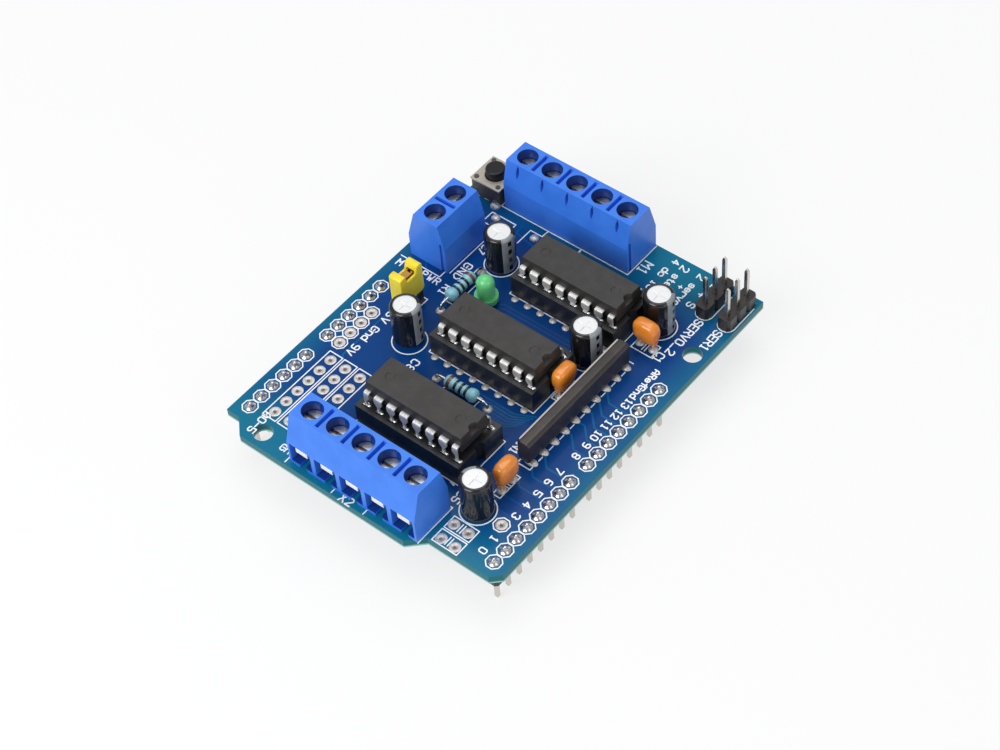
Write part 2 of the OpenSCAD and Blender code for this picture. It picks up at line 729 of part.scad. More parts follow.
// Dog-bone body, thicker over its end caps
module resistor_bodies() {
    r = resistor_d / 2;
    half = resistor_l / 2;
    color("#8fb7d6") for (p = resistors) at_grid(p[0], top_z + resistor_z) rotate(p[1])
        translate([resistor_span / 2 - half, 0, 0]) rotate([0, 90, 0]) rotate_extrude()
            polygon([[wire_d / 2, 0], [r - 0.35, 0], [r - 0.08, 0.25], [r, 0.6], [r, 1.3], [r - 0.2, 1.75],
                     [r - 0.2, resistor_l - 1.75], [r, resistor_l - 1.3], [r, resistor_l - 0.6],
                     [r - 0.08, resistor_l - 0.25], [r - 0.35, resistor_l], [wire_d / 2, resistor_l]]);
}

// One wire through the body, bent down at both ends
module resistor_leads() {
    b = resistor_bend;
    tail = board_t + wire_tail;
    color("#cfd2d6") for (p = resistors) at_grid(p[0], top_z) rotate(p[1]) {
        translate([b, 0, resistor_z]) rotate([0, 90, 0]) cylinder(d = wire_d, h = resistor_span - 2 * b);
        for (s = [0, 1]) translate([s * resistor_span, 0, 0]) mirror([s, 0, 0]) {
            translate([b, 0, resistor_z - b]) rotate([90, 0, 180]) rotate_extrude(angle = 90)
                translate([b, 0]) circle(d = wire_d);
            translate([0, 0, -tail]) cylinder(d = wire_d, h = tail + resistor_z - b);
        }
    }
}

// Dipped strip with rounded upper and lower edges
module resistor_network() {
    r = 0.7;
    h = network_h - network_z;
    half = network_t / 2 - r;
    middle = (network_pins - 1) * grid / 2;
    color("#3a3436") at_grid(network_at, top_z + network_z) translate([middle, -network_shift, 0])
        rotate([90, 0, 90]) linear_extrude(network_l, center = true) {
            translate([-half, 0]) square([2 * half, h]);
            translate([-half - r, r]) square([2 * (half + r), h - 2 * r]);
            for (y = [-half, half]) for (z = [r, h - r]) translate([y, z]) circle(r = r);
        }
}

module network_leads() {
    color("#cfd2d6") for (i = [0 : network_pins - 1]) at_grid(network_at + [i, 0], board_z - wire_tail)
        translate([-0.25, -0.125, 0]) cube([0.5, 0.25, board_t + wire_tail + network_z]);
}

// Domed lens on a flange, with a flat on one side of the flange
module lamp_lens() {
    r = lamp_d / 2;
    color("#4fae5a") at_grid(lamp_at, top_z + lamp_z) difference() {
        union() {
            cylinder(d = lamp_flange_d, h = lamp_flange_h);
            cylinder(r = r, h = lamp_body_h);
            translate([0, 0, lamp_body_h]) sphere(r = r);
        }
        translate([r + 0.1, -lamp_d, -over]) cube([lamp_d, 2 * lamp_d, lamp_flange_h + over]);
    }
}

module lamp_leads() {
    tail = board_t + wire_tail;
    color("#cfd2d6") at_grid(lamp_at, top_z - tail) two_wires(grid)
        translate([-0.25, -0.25, 0]) cube([0.5, 0.5, tail + lamp_z]);
}

board();
header_strips();
header_pins();
servo_headers();
servo_pins();
jumper_header();
jumper_pins();
jumper_cap();
jumper_contact();
motor_terminal_left();
motor_terminal_right();
power_terminal();
terminal_contacts();
for (k = [0 : 11]) {
    in_clamp(k) clamp_screw();
    in_clamp(k) clamp_cage();
}
driver_chip_left();
logic_chip();
driver_chip_right();
chip_leads();
chip_sockets();
socket_contacts();
reset_base();
reset_cover();
reset_plunger();
reset_dome();
reset_legs();
capacitor_cans();
capacitor_sleeves();
capacitor_bungs();
capacitor_leads();
ceramic_bodies();
ceramic_leads();
resistor_bodies();
resistor_leads();
resistor_network();
network_leads();
lamp_lens();
lamp_leads();
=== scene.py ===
import json
import math

import bmesh
import bpy
import numpy as np
from mathutils import Matrix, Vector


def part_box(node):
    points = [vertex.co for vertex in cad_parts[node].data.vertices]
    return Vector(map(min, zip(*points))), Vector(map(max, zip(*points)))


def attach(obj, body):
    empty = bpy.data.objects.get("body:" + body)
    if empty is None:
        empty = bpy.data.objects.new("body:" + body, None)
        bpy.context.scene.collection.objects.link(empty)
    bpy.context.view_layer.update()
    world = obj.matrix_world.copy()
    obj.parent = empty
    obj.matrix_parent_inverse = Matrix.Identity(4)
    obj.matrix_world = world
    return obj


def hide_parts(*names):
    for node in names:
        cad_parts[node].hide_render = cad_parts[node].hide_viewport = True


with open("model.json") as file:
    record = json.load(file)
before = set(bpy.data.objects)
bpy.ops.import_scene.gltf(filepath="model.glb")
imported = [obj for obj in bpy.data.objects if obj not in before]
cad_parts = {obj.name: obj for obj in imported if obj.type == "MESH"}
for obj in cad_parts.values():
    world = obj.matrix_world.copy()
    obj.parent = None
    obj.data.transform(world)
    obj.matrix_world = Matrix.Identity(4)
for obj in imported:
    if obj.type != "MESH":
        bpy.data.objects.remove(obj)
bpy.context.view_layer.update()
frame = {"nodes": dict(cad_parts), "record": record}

# Camera
# It stands where the photograph was taken from. Its place and lens come from fitting a camera to the
# board's holes, the chips' leads and the terminals' screw holes.
camera_data = bpy.data.cameras.new("camera")
camera_data.sensor_width = 36
camera_data.lens = 80.785
camera_data.clip_start = 0.01
camera = bpy.data.objects.new("camera", camera_data)
camera_place = (0.162103, 0.153847, 0.27344)
camera_right = (-0.63041, 0.77397, -0.0596)
camera_up = (-0.62084, -0.45661, 0.63724)
camera_back = (0.46599, 0.43872, 0.76836)
camera_axes = Matrix((camera_right, camera_up, camera_back)).transposed().to_4x4()
camera.matrix_world = Matrix.Translation(camera_place) @ camera_axes
bpy.context.scene.collection.objects.link(camera)
bpy.context.scene.camera = camera
bpy.context.scene.view_settings.view_transform = "Standard"

# Floor and lamps
# A sheet of matt white paper lies under the board. Three large soft boxes stand round it: the key at the
# end with the cut corner, a weaker one before the long pin row, and one overhead.


def linear(hex_colour):
    """sRGB hex to linear: c / 12.92 up to 0.04045, and ((c + 0.055) / 1.055) ** 2.4 above it."""
    channels = [int(hex_colour[i:i + 2], 16) / 255 for i in (1, 3, 5)]
    return [c / 12.92 if c <= 0.04045 else ((c + 0.055) / 1.055) ** 2.4 for c in channels] + [1.0]


def add(tree, kind, settings=None, links=None):
    """Adds one node: settings gives its sockets and properties values, links gives its sockets sources."""
    node = tree.nodes.new(kind)
    for key, value in (settings or {}).items():
        if not isinstance(key, int) and hasattr(node, key):
            setattr(node, key, value)
        else:
            node.inputs[key].default_value = value
    for key, source in (links or {}).items():
        tree.links.new(source, node.inputs[key])
    return node


def empty_material(name):
    """A material whose tree holds its output node alone."""
    material = bpy.data.materials.new(name)
    material.use_nodes = True
    material.node_tree.nodes.clear()
    return material, material.node_tree, add(material.node_tree, "ShaderNodeOutputMaterial")


FLOOR_HALF = 1.5
floor_corners = [(x * FLOOR_HALF, y * FLOOR_HALF, 0) for x, y in ((-1, -1), (1, -1), (1, 1), (-1, 1))]
floor_mesh = bpy.data.meshes.new("floor")
floor_mesh.from_pydata(floor_corners, [], [(0, 1, 2, 3)])
floor = bpy.data.objects.new("floor", floor_mesh)
bpy.context.scene.collection.objects.link(floor)
# Matt paper: white with no gloss. To the camera, and in glossy and clear things, part of it glows, so that
# it is white all over and still keeps the board's shadow.
GLOW_SHARE = 0.72
paper, tree, output = empty_material("matt paper sweep")
rays = add(tree, "ShaderNodeLightPath")
seen = add(tree, "ShaderNodeMath", {"operation": "MAXIMUM"},
           {0: rays.outputs["Is Camera Ray"], 1: rays.outputs["Is Glossy Ray"]})
seen = add(tree, "ShaderNodeMath", {"operation": "MAXIMUM"},
           {0: seen.outputs[0], 1: rays.outputs["Is Transmission Ray"]})
share = add(tree, "ShaderNodeMath", {"operation": "MULTIPLY", 1: GLOW_SHARE}, {0: seen.outputs[0]})
matt = add(tree, "ShaderNodeBsdfDiffuse", {"Color": linear("#eeeeec")})
glow = add(tree, "ShaderNodeEmission", {"Color": linear("#ffffff"), "Strength": 1.0})
mixed = add(tree, "ShaderNodeMixShader", {}, {0: share.outputs[0], 1: matt.outputs[0], 2: glow.outputs[0]})
tree.links.new(mixed.outputs[0], output.inputs["Surface"])
floor_mesh.materials.append(paper)


def soft_box(name, place, side, power):
    """A square lamp of the given side in metres and power in watts that faces the middle of the board."""
    lamp = bpy.data.lights.new(name, "AREA")
    lamp.size = side
    lamp.energy = power
    holder = bpy.data.objects.new(name, lamp)
    back = np.array(place) / np.linalg.norm(place)
    across = np.cross([0.0, 0.05, 1.0], back)
    across /= np.linalg.norm(across)
    axes = Matrix((across, np.cross(back, across), back)).transposed().to_4x4()
    holder.matrix_world = Matrix.Translation(place) @ axes
    bpy.context.scene.collection.objects.link(holder)


soft_box("key_lamp", (0.42, -0.05, 0.34), 0.34, 1.7)
soft_box("side_lamp", (0.05, 0.5, 0.26), 0.3, 0.42)
soft_box("top_lamp", (-0.12, -0.1, 0.55), 0.4, 1.0)
world = bpy.data.worlds.new("studio")
bpy.context.scene.world = world
world.use_nodes = True
tree = world.node_tree
tree.nodes.clear()
rays = add(tree, "ShaderNodeLightPath")
shade = add(tree, "ShaderNodeMix", {"data_type": "RGBA", 6: linear("#b4b6b9"), 7: linear("#ffffff")},
            {0: rays.outputs["Is Camera Ray"]})
sky = add(tree, "ShaderNodeBackground", {"Strength": 1.0}, {"Color": shade.outputs[2]})
add(tree, "ShaderNodeOutputWorld", {}, {"Surface": sky.outputs[0]})

# Board
# Glass-fibre laminate under a glossy blue solder mask. The mask is deep blue over the middle and greener
# towards the ends. The routed edge is dark teal, with a pale line of bare laminate along its foot.
MM = 0.001
GRID = 2.54
low, high = [np.array(corner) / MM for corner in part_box("board")]
TOP = high[2]
UNDER = low[2]
THICK = TOP - UNDER
EDGE_Y = (high[1] - low[1]) / GRID


def hole(x, y):
    """A place in steps of the hole grid from the board's lower left corner, in millimetres."""
    return np.array([low[0] + x * GRID, low[1] + y * GRID])


def row(x, y, count, step=(1, 0)):
    """count places on the grid, one step after another."""
    return np.array([hole(x + i * step[0], y + i * step[1]) for i in range(count)])


# Screened and baked epoxy mask: an even gloss, with the weave of the laminate faint beneath it
CLOUD_SIZE = 11.11
WEAVE_SIZE = 0.91
WEAVE_HEIGHT = 0.015
mask, tree, output = empty_material("glossy solder mask on laminate")
where = add(tree, "ShaderNodeTexCoord").outputs["Object"]
flat = add(tree, "ShaderNodeSeparateXYZ", {}, {0: where})
# How far out a point lies, 1 at the board's ends; the long edges count for less, since they stay bluer
half_size = (high - low)[:2] / 2 * MM
reach = []
for axis, weight in ((0, 1.0), (1, 0.8)):
    out = add(tree, "ShaderNodeMath", {"operation": "ABSOLUTE"}, {0: flat.outputs[axis]})
    scaled = {"operation": "MULTIPLY", 1: weight / half_size[axis]}
    reach.append(add(tree, "ShaderNodeMath", scaled, {0: out.outputs[0]}).outputs[0])
edge = add(tree, "ShaderNodeMath", {"operation": "SMOOTH_MAX", 2: 0.15}, {0: reach[0], 1: reach[1]})
cloud = add(tree, "ShaderNodeTexNoise", {"Scale": 1000 / CLOUD_SIZE, "Detail": 2.0}, {"Vector": where})
edge = add(tree, "ShaderNodeMath", {"operation": "MULTIPLY_ADD", 1: 0.2},
           {0: cloud.outputs["Fac"], 2: edge.outputs[0]})
tint = add(tree, "ShaderNodeValToRGB", {}, {0: edge.outputs[0]})
for stop, place, hue in zip(tint.color_ramp.elements, (0.75, 1.12), ("#0a3f80", "#10708e")):
    stop.position = place
    stop.color = linear(hue)
facing = add(tree, "ShaderNodeNewGeometry")
upright = add(tree, "ShaderNodeSeparateXYZ", {}, {0: facing.outputs["True Normal"]})
side_on = add(tree, "ShaderNodeMath", {"operation": "ABSOLUTE"}, {0: upright.outputs[2]})
side_on = add(tree, "ShaderNodeMath", {"operation": "LESS_THAN", 1: 0.5}, {0: side_on.outputs[0]})
rise = add(tree, "ShaderNodeMapRange", {1: (UNDER + 0.2) * MM, 2: (UNDER + 0.45) * MM}, {0: flat.outputs[2]})
rim = add(tree, "ShaderNodeMix", {"data_type": "RGBA", 6: linear("#8cbdb8"), 7: linear("#12666e")},
          {0: rise.outputs[0]})
colour = add(tree, "ShaderNodeMix", {"data_type": "RGBA"},
             {0: side_on.outputs[0], 6: tint.outputs[0], 7: rim.outputs[2]})
weave = add(tree, "ShaderNodeTexNoise", {"Scale": 1000 / WEAVE_SIZE, "Detail": 2.0}, {"Vector": where})
bump = add(tree, "ShaderNodeBump", {"Distance": WEAVE_HEIGHT * MM, "Strength": 0.5},
           {"Height": weave.outputs["Fac"]})
shader = add(tree, "ShaderNodeBsdfPrincipled", {"Roughness": 0.2, "Specular IOR Level": 0.15},
             {"Base Color": colour.outputs[2], "Normal": bump.outputs["Normal"]})
tree.links.new(shader.outputs["BSDF"], output.inputs["Surface"])


def dress(node, material):
    """Gives a CAD node its material."""
    mesh = frame["nodes"][node].data
    mesh.materials.clear()
    mesh.materials.append(material)


dress("board", mask)

# Copper tracks
# Etched copper runs under the mask from the chips to the rows of pins, and shows as slightly raised,
# lighter lines.
TRACK_W = 0.3
TRACK_Z = TOP + 0.012
# How deep each flat layer starts below the board's surface
SINK = 0.02


def strokes(segments, width, z0, z1):
    """Flat lines with round ends. Each (x0, y0, x1, y1) becomes a prism over a stadium of 12 points: half a
    circle of radius width / 2 about each end, at the angles from a quarter to three quarters of a turn. Tops
    that cross lie at z1 plus 0, 1 or more thousandths of a millimetre, never in one plane."""
    segments = np.array(segments, float).reshape(-1, 4)
    start, end = segments[:, :2], segments[:, 2:]
    angle = np.arctan2(end[:, 1] - start[:, 1], end[:, 0] - start[:, 0])
    behind = angle[:, None] + np.radians(np.linspace(90, 270, 6))
    ahead = behind + np.pi
    tail = start[:, None] + width / 2 * np.stack([np.cos(behind), np.sin(behind)], axis=2)
    nose = end[:, None] + width / 2 * np.stack([np.cos(ahead), np.sin(ahead)], axis=2)
    stadium = np.concatenate([tail, nose], axis=1)
    number, count = stadium.shape[:2]
    levels = (np.full(number, z0), z1 + 0.001 * (np.arange(number) % 11))
    layers = [np.dstack([stadium, np.broadcast_to(z[:, None], (number, count))]) for z in levels]
    points = np.concatenate(layers, axis=1).reshape(-1, 3)
    base = (np.arange(number) * 2 * count)[:, None]
    k = np.arange(count)
    n = (k + 1) % count
    sides = np.stack([base + k, base + n, base + count + n, base + count + k], axis=2).reshape(-1, 4)
    return points, (base + count + k).tolist() + (base + k[::-1]).tolist() + sides.tolist()


def polyline(points, closed=False):
    """The segments that join a list of points."""
    points = [tuple(p) for p in points]
    pairs = list(zip(points, points[1:])) + ([(points[-1], points[0])] if closed else [])
    return [(*a, *b) for a, b in pairs]


def outline(*places, closed=False):
    """The segments that join grid places."""
    return polyline([hole(*p) for p in places], closed)


def moved(part, place, turn=0.0):
    """A part turned by turn radians about Z and carried to place. Its own coordinates stay as its locals."""
    points, faces = part[:2]
    local = part[2] if len(part) > 2 else points
    c, s = math.cos(turn), math.sin(turn)
    x, y, z = points.T
    spun = np.stack([x * c - y * s, x * s + y * c, z], axis=1)
    return spun + np.array([place[0], place[1], place[2] if len(place) > 2 else 0.0]), faces, local


def show(mesh, sharp):
    """Shades a mesh smooth but for its edges sharper than sharp degrees, and puts it in the scene."""
    mesh.polygons.foreach_set("use_smooth", np.ones(len(mesh.polygons), bool))
    mesh.set_sharp_from_angle(angle=math.radians(sharp))
    mesh.update()
    thing = bpy.data.objects.new(mesh.name, mesh)
    bpy.context.scene.collection.objects.link(thing)
    return thing


def piece(name, parts, body, material, replaces=(), sharp=35):
    """Joins parts in millimetres into one mesh. Its attribute "local" holds each part's own coordinates."""
    points, faces, local, start = [], [], [], 0
    for part in parts:
        points.append(part[0])
        local.append(part[2] if len(part) > 2 else part[0])
        faces += [[start + k for k in face] for face in part[1]]
        start += len(part[0])
    mesh = bpy.data.meshes.new(name)
    mesh.from_pydata((np.vstack(points) * MM).tolist(), [], faces)
    own = mesh.attributes.new("local", "FLOAT_VECTOR", "POINT")
    own.data.foreach_set("vector", np.vstack(local).astype(np.float32).ravel())
    mesh.materials.append(material)
    thing = show(mesh, sharp)
    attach(thing, body)
    if replaces:
        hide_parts(*replaces)
    return thing


def finish(name, hex_colour, settings, grain=None, second=None):
    """A surface of one colour with shader settings. grain is the size and height in millimetres of its
    bumps. second is a colour that clouds of the given size in millimetres mix in: (hex, size, low, high)."""
    material, tree, output = empty_material(name)
    where = add(tree, "ShaderNodeTexCoord").outputs["Object"]
    shader = add(tree, "ShaderNodeBsdfPrincipled", {"Base Color": linear(hex_colour), **settings})
    if second:
        other, size, start, end = second
        clouds = add(tree, "ShaderNodeTexNoise", {"Scale": 1000 / size, "Detail": 3.0}, {"Vector": where})
        ramp = add(tree, "ShaderNodeMapRange", {1: start, 2: end}, {0: clouds.outputs["Fac"]})
        blend = add(tree, "ShaderNodeMix", {"data_type": "RGBA", 6: linear(hex_colour), 7: linear(other)},
                    {0: ramp.outputs[0]})
        tree.links.new(blend.outputs[2], shader.inputs["Base Color"])
    if grain:
        size, height = grain
        noise = add(tree, "ShaderNodeTexNoise", {"Scale": 1000 / size, "Detail": 3.0}, {"Vector": where})
        bump = add(tree, "ShaderNodeBump", {"Distance": height * MM, "Strength": 1.0},
                   {"Height": noise.outputs["Fac"]})
        tree.links.new(bump.outputs["Normal"], shader.inputs["Normal"])
    tree.links.new(shader.outputs["BSDF"], output.inputs["Surface"])
    return material


# Mask over copper: a little lighter and greener than over bare laminate
masked_copper = finish("solder mask on copper", "#0d4b8f", {"Roughness": 0.22, "Specular IOR Level": 0.15},
                       (0.9, 0.01), ("#0f5f93", 14, 0.4, 0.65))
tracks = []
# From the digital pins down past the resistor network
for x in (12, 13, 14, 15, 16, 18, 19, 20, 21, 22):
    bend_y = 18.9 - 0.22 * abs(x - 15)
    tracks += outline((x, 19.6), (x, bend_y), (x - 0.8, bend_y - 0.8), (x - 0.8, 15.9))
# Between the chips
for i in range(6):
    x = 9.6 + 0.28 * i
    tracks += outline((x, 14.2), (x, 8.2 + 0.3 * i), (10.6 + 0.2 * i, 7.2 + 0.3 * i))
    x = 16.0 + 0.24 * i
    tracks += outline((x, 9.0 + 0.2 * i), (x, 14.2), (x - 0.6, 15.4 - 0.1 * i))
# From the outer chips to the motor terminals
for i in range(4):
    tracks += outline((3.4, 5 + 2 * i), (4.4, 5 + 2 * i), (5.1, 8.5 + i))
    tracks += outline((22.2, 8.5 + i), (23.1, 7.2 + 2 * i), (23.6, 7.2 + 2 * i))
tracks += outline((9.6, 1.8), (10.6, 2.8), (18.6, 2.8), (19.0, 3.1))
tracks += outline((20.6, 15.4), (21.4, 16.2), (21.4, 17.6))
piece("signal_tracks", [strokes(tracks, TRACK_W, TOP - SINK, TRACK_Z)], "root", masked_copper)

# Plated pads and solder
# Each hole has a tinned ring. Where a pin or lead comes through, solder has climbed it in a small bright
# cone: on top for the rows of pins to the board below, and underneath for all that stands on top.


def ring_faces(rings, steps, loop=False):
    """The quads between rings of steps points each, numbered ring after ring. A loop joins last to first."""
    i, j = np.meshgrid(np.arange(rings - (0 if loop else 1)), np.arange(steps), indexing="ij")
    n = (j + 1) % steps
    up = (i + 1) % rings
    quads = [i * steps + j, i * steps + n, up * steps + n, up * steps + j]
    return np.stack(quads, axis=-1).reshape(-1, 4).tolist()


def pole_faces(first, steps, pole, below):
    """The triangles between the ring whose points start at first and the pole below or above it."""
    here = first + np.arange(steps)
    near = first + (np.arange(steps) + 1) % steps
    tip = np.full(steps, pole)
    return np.stack([tip, near, here] if below else [here, near, tip], axis=1).tolist()


def revolve(profile, steps=24, loop=False):
    """Turns an (r, z) profile about Z: a point is (r cos a, r sin a, z) with a from 0 to a full turn. The
    profile runs up its outer side, an end on the axis becomes one point, and a loop joins end to start."""
    profile = np.array(profile, float)
    angles = np.arange(steps) * 2 * np.pi / steps
    circle = np.stack([np.cos(angles), np.sin(angles)], axis=1)
    at_start = profile[0, 0] < 1e-6
    at_end = profile[-1, 0] < 1e-6
    body = profile[int(at_start):len(profile) - int(at_end)]
    height = np.broadcast_to(body[:, None, 1:], (len(body), steps, 1))
    points = np.concatenate([body[:, None, :1] * circle[None], height], axis=2).reshape(-1, 3)
    faces = ring_faces(len(body), steps, loop)
    for closed, z, first in ((at_start, profile[0, 1], 0), (at_end, profile[-1, 1], (len(body) - 1) * steps)):
        if closed:
            faces += pole_faces(first, steps, len(points), first == 0)
            points = np.vstack([points, [0, 0, z]])
    return points, faces


def copies(shape, places, z, size=(1, 1, 1)):
    """A revolved shape, stretched by size, at each of the places and at height z."""
    return [moved((shape[0] * size, shape[1]), (*p, z)) for p in places]


# Reflowed tin: mirror-like, a little uneven
tin = finish("bright tin solder", "#cfcccb", {"Metallic": 1.0, "Roughness": 0.2}, (0.5, 0.03))
# Levelled tin on the open pads: paler and duller
pad_tin = finish("levelled tin plating", "#d6d2cf", {"Metallic": 0.55, "Roughness": 0.42}, (0.35, 0.02),
                 ("#bdb5ab", 0.5, 0.5, 0.7))
RING_R = 0.95
RING_BORE = 0.3
# Digital pins, analogue inputs and supply
pin_places = np.vstack([row(18, 20, 8), row(9.4, 20, 8), row(20, 1, 6), row(13, 1, 6)])
reset_pad = hole(22.75, 18.72)
corner_pads = [hole(24.35, 16.5), hole(24.35, 17.57), hole(25.55, 16.55), hole(25.55, 17.57)]
supply_pads = row(15, 2, 4)
sensor_rows = (2.5, 3.7, 4.9)
sensor_pads = [row(19.4, y, 6) for y in sensor_rows]
open_places = np.vstack([supply_pads, *sensor_pads, reset_pad, corner_pads])
eyelet = [(RING_R, -SINK), (RING_R, 0.03), (0.88, 0.06), (0.45, 0.05), (RING_BORE, -0.04),
          (RING_BORE, 0.04 - THICK), (0.45, -THICK - 0.05), (0.88, -THICK - 0.06), (RING_R, -THICK - 0.03),
          (RING_R, SINK - THICK), (0.505, SINK - THICK), (0.505, -SINK)]
piece("open_pads", copies(revolve(eyelet, 24, True), open_places, TOP), "root", pad_tin)
cone = [(0, -SINK), (0.92, -SINK), (0.9, 0.05), (0.74, 0.17), (0.56, 0.36), (0.44, 0.6), (0.36, 0.8),
        (0.2, 0.9), (0, 0.92)]
piece("pin_solder", copies(revolve(cone), pin_places, TOP), "root", tin)
via_places = np.vstack([row(15.42, 7.5, 8, (0, 1)), row(8.87, 8.5, 8, (0, 1))])
drop = [(0, -SINK), (0.62, -SINK), (0.6, 0.05), (0.45, 0.13), (0.2, 0.17), (0, 0.18)]
piece("via_solder", copies(revolve(drop, 20), via_places, TOP), "root", pad_tin)

# The parts' places on the grid, as in the board's drilling. Discs have a turn in degrees.
CHIP_PLACES = [(6.6, 12), (13.2, 11), (20, 11)]
CHIP_REACH = 1.5
CAN_PLACES = [(7.05, 5.95), (15.32, 5.39), (9.95, 14.99), (5.38, 17.04), (22.71, 16.95)]
DISC_PLACES = [(7.1, 17.37, 90), (12.8, 15.542, 0), (20.35, 17.18, 0)]
SERVO_ROWS = (EDGE_Y - 0.7, EDGE_Y - 2.35)
chip_columns = [(x + side * CHIP_REACH, y - 3.5) for x, y in CHIP_PLACES for side in (-1, 1)]
can_leads = [row(x - 0.5, y, 2) for x, y in CAN_PLACES]
disc_leads = [row(x, y - 0.5, 2, (0, 1)) if turn else row(x - 0.5, y, 2) for x, y, turn in DISC_PLACES]
rod_leads = [row(8.34, 5.37, 2, (4, 0)), row(16.66, 8.7, 2, (0, 4))]
lamp_leads = row(9.55, 7.22, 2)
network_leads = row(9.2, 17.2, 10)
jumper_pins = row(12.65, 3.55, 2)
tails = [row(x, y, 8, (0, 1)) for x, y in chip_columns] + can_leads + disc_leads + rod_leads
tails += [lamp_leads, network_leads, jumper_pins] + [row(0.85, y, 3) for y in SERVO_ROWS]
under_cone = [(0, -0.95), (0.25, -0.93), (0.34, -0.8), (0.44, -0.4), (0.62, -0.16), (0.84, -0.05),
              (0.86, SINK), (0, SINK)]
piece("under_solder", copies(revolve(under_cone, 16), np.vstack(tails), UNDER), "root", tin)
under_ring = [(RING_R, -0.03), (RING_R, SINK), (0.5, SINK), (0.5, -0.04), (0.62, -0.08), (0.86, -0.06)]
under_places = np.vstack([pin_places, via_places])
piece("under_rings", copies(revolve(under_ring, 20, True), under_places, UNDER), "root", tin)
# Solder that came up round the leads on the top
bulb = [(0, -SINK), (0.8, -SINK), (0.79, 0.08), (0.7, 0.22), (0.5, 0.35), (0.25, 0.42), (0, 0.44)]
blob = revolve(bulb, 18)
round_places = np.vstack([*rod_leads, [hole(4.17, 3.13), hole(4.12, 6.24)], *disc_leads])
button_legs = [hole(2.1, 1.55) + (x, y) for x in (-3.2, 3.2) for y in (-2.25, 2.25)]
top_solder = copies(blob, round_places, TOP)
top_solder += copies(blob, row(9.2, 17.24, 10), TOP, (0.9, 1.6, 0.9))
top_solder += copies(blob, button_legs, TOP, (1.1, 1.1, 1.6))
piece("top_solder", top_solder, "root", pad_tin)

# White print
# Epoxy ink screened on the mask: octagons round the pin pads, outlines of the parts, and plain labels in
# the line lettering of a drawing program. Each line is a raised stroke with round ends.

# Epoxy ink: chalky white, with a slightly greyer mottle
ink = finish("white epoxy ink", "#f8fafb", {"Roughness": 0.5}, (0.15, 0.004), ("#e2e8ee", 0.5, 0.5, 0.75))
INK_Z = TOP + 0.035
LINE_W = 0.19
HEAVY_W = 0.34
LETTER_W = 0.23
# Each letter's strokes, apart by spaces. A stroke lists its points as pairs of digits, x and then y.
GLYPHS = {
    "0": "103041453616050110", "1": "152620 1030", "2": "05163645440040", "3": "0516364544334241301001",
    "4": "30360242", "5": "460603334241301001", "6": "36160501103041423303", "7": "064610",
    "8": "13020110304142331304051636454433", "9": "10304145361605041343", "A": "0004264440 0242",
    "C": "4536160501103041", "D": "00062644422000", "E": "46060040 0333", "G": "4536160501103041 4323",
    "I": "2026 1030 1636", "M": "0006234640", "N": "00064046", "O": "103041453616050110",
    "P": "00063645443303", "R": "00063645443303 2340", "S": "453616050413334241301001", "V": "062046",
    "W": "0610233046", "X": "0046 0640", "+": "2125 0343", "-": "0343", "_": "0040",
    "c": "4334140301103041", "d": "4640 4334140301103041", "e": "02424334140301103041",
    "f": "20253646 0434", "n": "0004 0314344340", "o": "103041433414030110", "p": "0004 0314344341301001",
    "r": "0004 0314344443", "s": "43341403123241301001", "t": "26213040 1434", "v": "042044"}


def lettering(text, x, y, height, pitch, turn=0):
    """The strokes of a word whose first letter has its middle at grid place (x, y). A letter is 4 units wide
    and 6 high, the unit being height / 6 mm, and the next one starts pitch mm further on."""
    angle = math.radians(turn)
    along = np.array([math.cos(angle), math.sin(angle)])
    up = np.array([-math.sin(angle), math.cos(angle)])
    unit = height / 6
    lines = []
    for i, letter in enumerate(text):
        middle = hole(x, y) + along * pitch * i
        for stroke in GLYPHS[letter].split():
            steps = [(int(a) - 2, int(b) - 3) for a, b in zip(stroke[::2], stroke[1::2])]
            lines += polyline([middle + along * a * unit + up * b * unit for a, b in steps])
    return lines


def arc(x, y, radius, start=0, end=360, steps=32):
    """The segments of a circular arc about a grid place, radius in mm and angles in degrees."""
    angles = np.radians(np.linspace(start, end, steps + 1))
    return polyline(hole(x, y) + radius * np.column_stack([np.cos(angles), np.sin(angles)]))


def frame_line(x0, y0, x1, y1):
    """The segments of a rectangle between two grid places."""
    return outline((x0, y0), (x1, y0), (x1, y1), (x0, y1), closed=True)


def octagon(centre, across):
    """The segments of a regular octagon, across mm wide over its flats."""
    angles = np.radians(22.5 + 45 * np.arange(8))
    radius = across / 2 / math.cos(math.pi / 8)
    return polyline(centre + radius * np.column_stack([np.cos(angles), np.sin(angles)]), True)


PAD_OCTAGON = 2.42
octagon_places = np.vstack([pin_places, supply_pads, reset_pad])
outlines = [line for p in octagon_places for line in octagon(p, PAD_OCTAGON)]
BOX_HALF = 0.52
CAN_RING_R = 2.83
for y in sensor_rows:
    outlines += frame_line(18.85, y - BOX_HALF, 24.95, y + BOX_HALF)
for x, y in CAN_PLACES:
    outlines += arc(x, y, CAN_RING_R)
# Ceramic capacitors and the two places left empty: a box with the two plates of the circuit symbol
boxes = [((6.69, 16.6, 7.69, 18.12), 7.19, 17.37), ((19.45, 16.9, 21.34, 17.45), 20.38, 17.1),
         ((11.9, 15.2, 13.7, 15.95), 12.8, 15.54), ((23.87, 16.15, 24.83, 18), 24.35, 17.06),
         ((24.97, 16.15, 25.93, 18), 25.45, 17.06)]
for (x0, y0, x1, y1), x, y in boxes:
    outlines += frame_line(x0, y0, x1, y1)
    # The plates lie across the box's longer side
    plate, apart = ((0.3, 0), (0, 0.1)) if y1 - y0 > x1 - x0 else ((0, 0.3), (0.1, 0))
    for side in (-1, 1):
        px, py = x + side * apart[0], y + side * apart[1]
        outlines += outline((px - plate[0], py - plate[1]), (px + plate[0], py + plate[1]))
